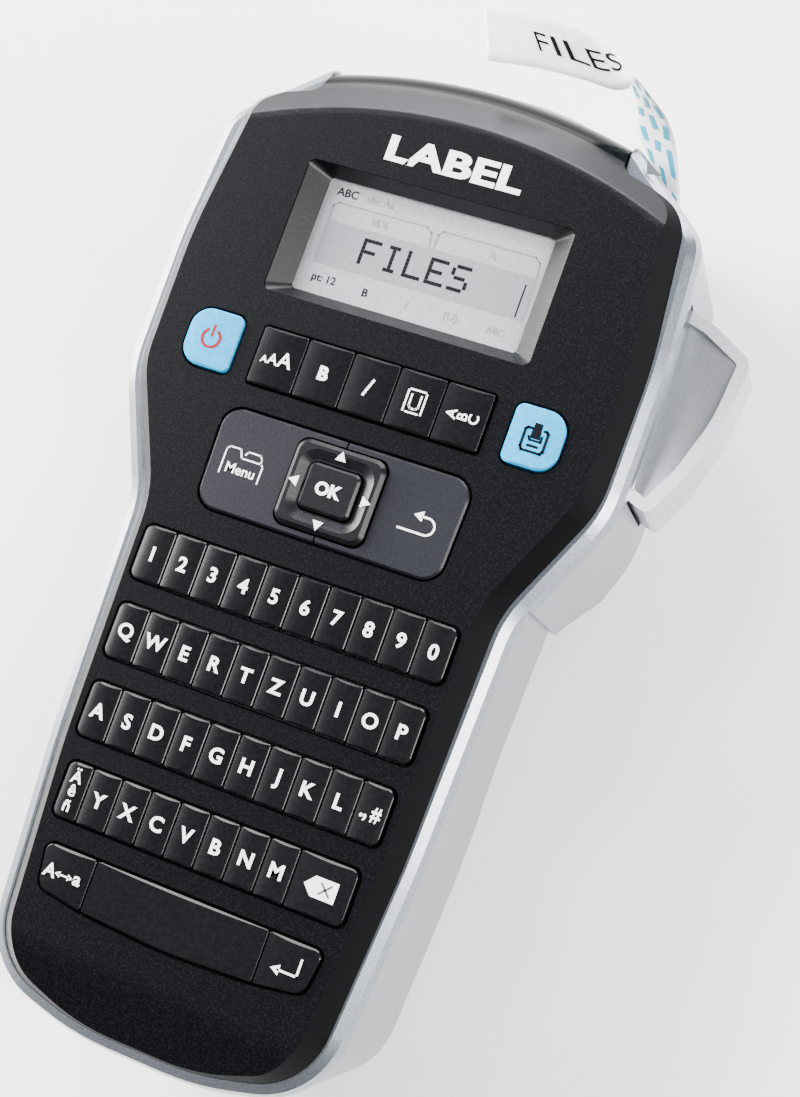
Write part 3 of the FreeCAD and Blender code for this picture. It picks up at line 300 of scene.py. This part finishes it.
def lettered(form, text, spot, size, height=0.05, bold=0.0, turn=0.0, widen=1.0):
    """Adds raised lettering to a bmesh, centred on a spot."""
    curve = bpy.data.curves.new("lettering", "FONT")
    curve.body = text
    curve.size = size * MM
    curve.offset = bold * MM
    curve.extrude = height * MM
    curve.align_x = "CENTER"
    curve.align_y = "CENTER"
    curve.resolution_u = 4
    words = bpy.data.objects.new("lettering", curve)
    bpy.context.scene.collection.objects.link(words)
    mesh = bpy.data.meshes.new_from_object(words.evaluated_get(bpy.context.evaluated_depsgraph_get()))
    xs = [v.co.x for v in mesh.vertices]
    ys = [v.co.y for v in mesh.vertices]
    middle = Vector(((min(xs) + max(xs)) / 2, (min(ys) + max(ys)) / 2, 0))
    mesh.transform(Matrix.Translation(spot) @ Matrix.Rotation(math.radians(turn), 4, "Z")
                   @ Matrix.Diagonal((widen, 1, 1, 1)) @ Matrix.Translation(-middle))
    form.from_mesh(mesh)
    bpy.data.objects.remove(words)
    bpy.data.curves.remove(curve)
    bpy.data.meshes.remove(mesh)


def bar(form, a, b, width, height=0.05):
    """Adds a straight printed stroke between two points."""
    run = b - a
    place = Matrix.Translation((a + b) / 2) @ Matrix.Rotation(math.atan2(run.y, run.x), 4, "Z")
    size = Matrix.Diagonal((run.length, width * MM, 2 * height * MM, 1))
    bmesh.ops.create_cube(form, size=1, matrix=place @ size)


def stroke(form, points, width, height=0.05):
    """Adds a printed line through several points, with square joins."""
    for a, b in zip(points, points[1:]):
        lap = (b - a).normalized() * (width * MM / 2)
        bar(form, a - lap, b + lap, width, height)


def curved_stroke(form, centre, radius, start, end, width, height=0.05):
    """Adds a printed arc as one closed band, so that none of its faces lie on each other."""
    inner, outer = (radius - width / 2) * MM, (radius + width / 2) * MM
    low, high = -height * MM, height * MM
    outline = [(inner, 0, low), (outer, 0, low), (outer, 0, high), (inner, 0, high)]
    corners = [form.verts.new(centre + Vector(corner)) for corner in outline]
    section = form.faces.new(corners)
    bmesh.ops.rotate(form, verts=corners, cent=centre, matrix=Matrix.Rotation(math.radians(start), 3, "Z"))
    bmesh.ops.spin(form, geom=[section], cent=centre, axis=(0, 0, 1), angle=math.radians(end - start), steps=28)
    bmesh.ops.recalc_face_normals(form, faces=form.faces[:])


def arrow_head(form, spot, size, turn, height=0.05):
    """Adds a printed triangle that points along turn, in degrees from +X."""
    place = Matrix.Translation(spot) @ Matrix.Rotation(math.radians(turn - 90), 4, "Z")
    bmesh.ops.create_cone(form, cap_ends=True, segments=3, radius1=size * MM, radius2=size * MM,
                          depth=2 * height * MM, matrix=place)


def middle_top(node):
    """Centre of a node's top face."""
    low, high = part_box(node)
    return Vector(((low.x + high.x) / 2, (low.y + high.y) / 2, high.z))


def local(spot, points):
    """Points given in millimetres from a spot."""
    return [spot + Vector((x * MM, y * MM, 0)) for x, y in points]


def row_legends():
    """Figures and letters on the four rows of single keys."""
    rows = {"number_keys": ("1234567890", 10), "upper_letter_keys": ("QWERTZUIOP", 10),
            "home_letter_keys": ("ASDFGHJKL", 10), "lower_letter_keys": ("YXCVBNM", 7)}
    key_gap = 0.35 * MM
    for node, (text, count) in rows.items():
        low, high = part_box(node)
        pitch = (high.x - low.x + key_gap) / count
        first = Vector((low.x + (pitch - key_gap) / 2, (low.y + high.y) / 2, high.z))
        spots = [first + Vector((pitch * i, 0, 0)) for i in range(count)]
        form = bmesh.new()
        for letter, spot in zip(text, spots):
            lettered(form, letter, spot, 4.1, bold=0.12)
        if node == "home_letter_keys":
            lettered(form, ".,", spots[9] + Vector((-1.3 * MM, -1.0 * MM, 0)), 4.6, bold=0.1, widen=0.8)
            lettered(form, "#", spots[9] + Vector((1.1 * MM, 0, 0)), 4.0, bold=0.08, widen=0.8)
        piece("legends_" + node, form, INK_WHITE, node)


def word_legends():
    """Legends of the keys that carry a word or several letters."""
    words = {"size_key": [("A", -2.7, -0.6, 2.0, 0.05, 0), ("A", -0.9, -0.2, 3.1, 0.05, 0),
                          ("A", 1.7, 0.2, 4.4, 0.06, 0)],
             "bold_key": [("B", 0.2, 0, 3.8, 0.18, 0)],
             "ok_key": [("OK", -0.1, 0, 3.5, 0.15, 0)],
             "vertical_key": [("A", -2.3, 0, 2.9, 0.05, 90), ("B", 0.0, 0, 2.9, 0.05, 90),
                              ("C", 2.3, 0, 2.9, 0.05, 90)],
             "accent_key": [("Ä", 0.0, 3.1, 3.4, 0.06, 0), ("ê", 0.0, 0.1, 3.4, 0.06, 0),
                            ("ñ", 0.0, -3.0, 3.4, 0.06, 0)],
             "case_key": [("A", -2.9, 0.2, 3.7, 0.08, 0), ("a", 3.1, 0.0, 3.7, 0.08, 0)],
             "menu_key": [("Menu", -5.9, -1.5, 2.9, 0.04, 0)]}
    forms = {}
    for node, items in words.items():
        forms[node] = bmesh.new()
        for text, dx, dy, size, bold, turn in items:
            spot = middle_top(node) + Vector((dx * MM, dy * MM, 0))
            lettered(forms[node], text, spot, size, bold=bold, turn=turn)
    return forms


def sign_legends(forms):
    """Printed signs: italic stroke, boxed letter, case arrow, menu tabs, back, enter and the four-way ring's
    arrows.
    """
    spot = middle_top("italic_key")
    forms["italic_key"] = bmesh.new()
    stroke(forms["italic_key"], local(spot, [(-0.6, -1.6), (0.6, 1.6)]), 0.5)

    spot = middle_top("frame_key")
    forms["frame_key"] = bmesh.new()
    stroke(forms["frame_key"], local(spot, [(-1.9, -2.2), (-1.9, 2.3), (1.9, 2.3), (1.9, -2.2)]), 0.36)
    stroke(forms["frame_key"], local(spot, [(-1.0, 1.3), (-1.0, -1.0), (-0.5, -1.5), (0.5, -1.5), (1.0, -1.0),
                                            (1.0, 1.3)]), 0.36)
    stroke(forms["frame_key"], local(spot, [(-1.2, -2.3), (1.2, -2.3)]), 0.36)

    spot = middle_top("case_key") + Vector((0.2 * MM, 0, 0))
    stroke(forms["case_key"], local(spot, [(-1.1, 0), (1.1, 0)]), 0.34)
    arrow_head(forms["case_key"], spot + Vector((-1.2 * MM, 0, 0)), 0.75, 180)
    arrow_head(forms["case_key"], spot + Vector((1.2 * MM, 0, 0)), 0.75, 0)

    spot = middle_top("menu_key") + Vector((-5.9 * MM, -0.2 * MM, 0))
    folder = [(-4.2, -2.8), (-4.2, 2.2), (-3.6, 2.8), (-1.3, 2.8), (-0.6, 1.1),
              (3.7, 1.1), (4.2, 0.7), (4.2, -2.8)]
    stroke(forms["menu_key"], local(spot, folder), 0.3)
    stroke(forms["menu_key"], local(spot, [(0.0, 2.0), (0.4, 2.7), (3.1, 2.7), (3.6, 2.0), (3.6, 1.1)]), 0.3)

    spot = middle_top("back_key") + Vector((5.4 * MM, -0.6 * MM, 0))
    forms["back_key"] = bmesh.new()
    curved_stroke(forms["back_key"], spot + Vector((1.6 * MM, 0, 0)), 1.7, -90, 90, 0.42)
    bar(forms["back_key"], *local(spot, [(-3.9, -1.7), (1.6, -1.7)]), 0.42)
    bar(forms["back_key"], *local(spot, [(0.2, 1.7), (1.6, 1.7)]), 0.42)
    arrow_head(forms["back_key"], spot + Vector((-0.2 * MM, 1.7 * MM, 0)), 1.25, 180)

    spot = middle_top("enter_key")
    forms["enter_key"] = bmesh.new()
    stroke(forms["enter_key"], local(spot, [(2.3, 2.2), (2.3, -1.0), (-1.6, -1.0)]), 0.42)
    arrow_head(forms["enter_key"], spot + Vector((-1.9 * MM, -1.0 * MM, 0)), 1.2, 180)

    spot = middle_top("nav_ring")
    forms["nav_ring"] = bmesh.new()
    for dx, dy, turn in ((0, 6.9, 90), (0, -6.9, -90), (-7.5, 0, 180), (7.5, 0, 0)):
        arrow_head(forms["nav_ring"], spot + Vector((dx * MM, dy * MM, 0)), 1.3, turn)
    for node, form in forms.items():
        piece("legend_" + node, form, INK_WHITE, node)


def delete_sign():
    """White five-sided flag with a dark cross on the delete key."""
    spot = middle_top("backspace_key")
    flag = bmesh.new()
    corners = [(-3.5, 0), (-1.6, -2.0), (3.2, -2.0), (3.2, 2.0), (-1.6, 2.0)]
    outline = local(spot + Vector((0, 0, -0.05 * MM)), corners)
    face = flag.faces.new([flag.verts.new(p) for p in outline])
    raised = bmesh.ops.extrude_face_region(flag, geom=[face])["geom"]
    top = [g for g in raised if isinstance(g, bmesh.types.BMVert)]
    bmesh.ops.translate(flag, vec=(0, 0, 0.1 * MM), verts=top)
    bmesh.ops.recalc_face_normals(flag, faces=flag.faces)
    piece("legend_backspace_key", flag, INK_WHITE, "backspace_key")
    cross = bmesh.new()
    centre = spot + Vector((0.9 * MM, 0, 0.05 * MM))
    for a, b in (((-1, -1), (1, 1)), ((-1, 1), (1, -1))):
        stroke(cross, local(centre, [a, b]), 0.4, 0.03)
    piece("legend_backspace_cross", cross, INK_GREY, "backspace_key")


def blue_key_signs():
    """Power ring in red-brown, and the print sign in navy."""
    spot = middle_top("power_key")
    form = bmesh.new()
    curved_stroke(form, spot, 1.9, 120, 420, 0.55)
    bar(form, *local(spot, [(0, 0.3), (0, 2.9)]), 0.5)
    piece("sign_power", form, INK_RED, "power_key")
    spot = middle_top("print_key")
    form = bmesh.new()
    case = [(-1.0, 1.7), (-1.9, 1.7), (-2.3, 1.3), (-2.3, -2.2), (-1.9, -2.8),
            (1.9, -2.8), (2.3, -2.2), (2.3, 1.3), (1.9, 1.7), (1.5, 1.7)]
    stroke(form, local(spot, case), 0.5)
    stroke(form, local(spot, [(-0.9, -1.7), (0.9, -1.7)]), 0.5)
    stroke(form, local(spot, [(-1.3, 0.0), (-0.9, -0.6), (1.3, -0.6), (1.3, 0.4)]), 0.42)
    for i in range(5):
        y = 0.1 + 0.62 * i
        bar(form, *local(spot, [(-1.0 + 0.05 * i, y), (1.0 - 0.06 * i, y)]), 0.66)
    piece("sign_print", form, INK_NAVY, "print_key")


# Five by seven dot letters of the display's word, from the top row down.
DOT_LETTERS = {
    "F": "11111 10000 10000 11110 10000 10000 10000",
    "I": "01110 00100 00100 00100 00100 00100 01110",
    "L": "10000 10000 10000 10000 10000 10000 11111",
    "E": "11111 10000 10000 11110 10000 10000 11111",
    "S": "01111 10000 10000 01110 00001 00001 11110",
}
DOT_PITCH = 0.8
LETTER_PITCH = 4.9


def display_picture():
    """What the display shows: a grey band with a word in square dots, tabs above it, a status line below."""
    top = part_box("lcd_module")[1].z + 0.04 * MM

    def spot(x, y):
        return Vector((CENTRE_X + x * MM, ORIGIN_Y + y * MM, top))

    band = bmesh.new()
    bar(band, spot(-22.6, 62.3), spot(23.2, 62.3), 9.2, 0.01)
    piece("display_band", band, BAND, "casing")
    dots = bmesh.new()
    for n, letter in enumerate("FILES"):
        for row, line in enumerate(DOT_LETTERS[letter].split()):
            for column, lit in enumerate(line):
                if lit == "1":
                    middle = spot(-13.2 + LETTER_PITCH * n + DOT_PITCH * column, 64.9 - DOT_PITCH * row)
                    bmesh.ops.create_cube(dots, size=1, matrix=Matrix.Translation(middle)
                                          @ Matrix.Diagonal((0.78 * MM, 0.78 * MM, 0.05 * MM, 1)))
    stroke(dots, [spot(21.4, 58.3), spot(21.4, 65.0)], 0.32, 0.02)
    lettered(dots, "ABC", spot(-20.4, 73.2), 2.4, 0.02, 0.03)
    lettered(dots, "pt: 12", spot(-18.9, 54.6), 2.3, 0.02, 0.03)
    lettered(dots, "B", spot(-9.6, 54.4), 2.3, 0.02, 0.05)
    piece("display_dots", dots, SEGMENT, "casing")
    faint = bmesh.new()
    lettered(faint, "abc Aa", spot(-13.0, 73.2), 2.2, 0.02)
    lettered(faint, "!&%", spot(-11.5, 68.9), 2.4, 0.02)
    lettered(faint, "½", spot(13.0, 68.8), 2.4, 0.02)
    lettered(faint, "/", spot(-0.5, 54.4), 2.3, 0.02)
    lettered(faint, "(U)", spot(9.0, 54.4), 2.3, 0.02)
    lettered(faint, "ABC", spot(18.6, 54.4), 2.0, 0.02)
    for left, right in ((-22.4, -0.2), (0.8, 23.0)):
        tab = [spot(left, 67.0), spot(left, 70.0), spot(left + 0.9, 70.9), spot(right - 1.6, 70.9),
               spot(right - 0.5, 70.0), spot(right, 67.0)]
        stroke(faint, tab, 0.3, 0.02)
    piece("display_faint_signs", faint, SEGMENT_FAINT, "casing")


def face_word():
    """Plain word on the face above the display."""
    form = bmesh.new()
    lettered(form, "LABEL", at(0.7, 83.2, 53.0), 7.2, 0.05, 0.26, widen=1.5)
    piece("face_word", form, INK_WHITE, "casing")


def shoulder_arrow():
    """Dark arrow on the silver shoulder that points along the tape's way out."""
    form = bmesh.new()
    place = Matrix.Translation(at(37.6, 93.9, 48.52)) @ Matrix.Rotation(math.radians(147), 4, "Z")
    bmesh.ops.create_cone(form, cap_ends=True, segments=3, radius1=1.7 * MM, radius2=1.7 * MM,
                          depth=0.08 * MM, matrix=place @ Matrix.Diagonal((-1.6, 0.75, 1, 1)))
    bmesh.ops.recalc_face_normals(form, faces=form.faces)
    piece("shoulder_arrow", form, INK_GREY, "casing")


# ---- printed tape -------------------------------------------------------------------------------------
# The tape's two edges from the slot to its free end, in millimetres; each pair is a station.
TAPE_EDGES = [((42.8, 90.8, 38.0), (33.6, 98.5, 38.0)), ((43.2, 92.1, 38.0), (33.9, 99.7, 38.0)),
              ((39.6, 101.2, 42.5), (30.6, 103.6, 38.4)), ((37.0, 104.7, 47.8), (28.6, 108.0, 41.0)),
              ((33.6, 106.3, 53.2), (26.7, 111.2, 45.4)), ((31.2, 106.8, 58.6), (24.6, 112.7, 50.6)),
              ((31.0, 105.4, 61.0), (22.6, 112.9, 56.8)), ((30.2, 104.3, 59.6), (21.2, 112.2, 61.2)),
              ((27.0, 103.9, 58.4), (18.4, 111.9, 63.0)), ((21.9, 104.1, 58.8), (14.1, 112.4, 63.4)),
              ((12.8, 103.4, 61.0), (6.0, 112.8, 63.3)), ((2.7, 101.8, 62.4), (-1.9, 112.8, 63.2))]
LAST_STATION = len(TAPE_EDGES) - 1


def blended(points, t):
    """Point on a smooth curve through the given ones; t counts stations."""
    i = min(max(int(t), 0), len(points) - 2)
    f = t - i
    p0, p1, p2, p3 = (points[min(max(i + k, 0), len(points) - 1)] for k in (-1, 0, 1, 2))
    return 0.5 * (2 * p1 + (p2 - p0) * f + (2 * p0 - 5 * p1 + 4 * p2 - p3) * f * f
                  + (3 * p1 - p0 - 3 * p2 + p3) * f * f * f)


def tape_point(t, across, lift):
    """Point of the tape: t counts stations, across runs 0 to 1 between its edges, lift is off its surface."""
    def on(t, across):
        a = blended([at(*pair[0]) for pair in TAPE_EDGES], t)
        b = blended([at(*pair[1]) for pair in TAPE_EDGES], t)
        return a.lerp(b, across)
    run = on(min(t + 0.05, LAST_STATION), across) - on(max(t - 0.05, 0.0), across)
    side = on(t, 1.0) - on(t, 0.0)
    return on(t, across) + run.cross(side).normalized() * lift


def tape():
    """The tape itself, a smooth strip bent through its stations."""
    form = bmesh.new()
    bmesh.ops.create_grid(form, x_segments=88, y_segments=6, size=0.5)
    for v in form.verts:
        v.co = tape_point((v.co.x + 0.5) * LAST_STATION, v.co.y + 0.5, 0)
    bmesh.ops.recalc_face_normals(form, faces=form.faces)
    bmesh.ops.solidify(form, geom=form.faces[:], thickness=0.16 * MM)
    for face in form.faces:
        face.smooth = True
    made = piece("tape_printed", form, FINISHES["tape_white"], "casing")
    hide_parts("tape_strip")


def wrapped(form, lift):
    """Wraps flat print, laid out as stations by share of the width, onto the tape."""
    for i in range(1, 4 * LAST_STATION):
        everything = form.verts[:] + form.edges[:] + form.faces[:]
        bmesh.ops.bisect_plane(form, geom=everything, plane_co=(i / 4, 0, 0), plane_no=(1, 0, 0))
    for v in form.verts:
        v.co = tape_point(v.co.x, v.co.y, lift + v.co.z)
    bmesh.ops.recalc_face_normals(form, faces=form.faces[:])
    return form


def tape_print():
    """The word on the printed side, and plain teal marks on the backing."""
    word = bmesh.new()
    lettered(word, "FILES", Vector((0, 0, 0)), 1000, 20)
    half = max(v.co.x for v in word.verts)
    for v in word.verts:
        # Stations lie further apart towards the word's end, so it is laid out by a square law.
        along = (v.co.x / half + 1) / 2
        v.co = Vector((9.87 - 1.01 * along - 2.7 * along ** 2, 0.5 + v.co.y / half * 0.52, v.co.z * MM))
    piece("tape_word", wrapped(word, -0.3 * MM), SEGMENT, "casing")
    marks = bmesh.new()
    for i in range(21):
        t, across = 0.9 + 0.26 * i, (0.18, 0.5, 0.82)[i % 3]
        size = Matrix.Diagonal((0.5 if i % 4 else 0.3, 0.15, 0.02 * MM, 1))
        turned = Matrix.Translation((t, across, 0)) @ Matrix.Rotation(0.12 if i % 2 else -0.12, 4, "Z")
        bmesh.ops.create_cube(marks, size=1, matrix=turned @ size)
    piece("tape_backing_marks", wrapped(marks, 0.1 * MM), INK_TEAL, "casing")


row_legends()
sign_legends(word_legends())
delete_sign()
blue_key_signs()
display_picture()
face_word()
shoulder_arrow()
tape()
tape_print()


# ---- floor, lights and camera --------------------------------------------------------------------------
def floor():
    """Plain pale floor under the unit."""
    form = bmesh.new()
    bmesh.ops.create_grid(form, x_segments=1, y_segments=1, size=3.0)
    mesh = bpy.data.meshes.new("floor")
    form.to_mesh(mesh)
    form.free()
    made = bpy.data.objects.new("floor", mesh)
    bpy.context.scene.collection.objects.link(made)
    mesh.materials.append(grained("floor_paint_white", "#f4f4f4", "#f8f8f8", 40.0, 0.8, 0.01))


def light(name, spot, target, size, power, colour="#ffffff"):
    """Soft rectangular studio light aimed at a point."""
    lamp = bpy.data.lights.new(name, "AREA")
    lamp.shape = "RECTANGLE"
    lamp.size, lamp.size_y = size
    lamp.energy = power
    lamp.color = linear(colour)[:3]
    made = bpy.data.objects.new(name, lamp)
    made.location = spot
    made.rotation_euler = (Vector(target) - Vector(spot)).to_track_quat("-Z", "Y").to_euler()
    bpy.context.scene.collection.objects.link(made)


def studio():
    """Dim surroundings; broad lights on the left, high on the right, low beyond the tape end and over it."""
    world = bpy.data.worlds.new("studio")
    world.use_nodes = True
    world.node_tree.nodes["Background"].inputs["Color"].default_value = linear("#ffffff")
    world.node_tree.nodes["Background"].inputs["Strength"].default_value = 0.25
    bpy.context.scene.world = world
    light("left_key", (-1.15, 0.3, 0.5), (0, 0, 0.0), (0.8, 1.0), 125.0)
    light("right_high", (0.95, 0.0, 0.75), (0, 0, 0.0), (0.3, 1.2), 42.0)
    light("far_low", (0.0, 1.15, 0.22), (0, 0.05, 0.0), (1.4, 0.4), 34.0)
    light("roll_sheen", (-0.34, 0.8, 0.95), (0, 0.09, 0.05), (0.3, 0.25), 11.0, "#f0f3ff")


def view():
    """Camera over the key face, turned so that the unit leans to the right."""
    lens = bpy.data.cameras.new("camera")
    lens.sensor_fit = "HORIZONTAL"
    lens.sensor_width = 36.0
    lens.lens = 81.0
    camera = bpy.data.objects.new("camera", lens)
    camera.location = at(109.42, -23.9, 384.8)
    camera.rotation_euler = Euler([math.radians(a) for a in (10.209, 12.888, 20.356)])
    bpy.context.scene.collection.objects.link(camera)
    bpy.context.scene.camera = camera


floor()
studio()
view()
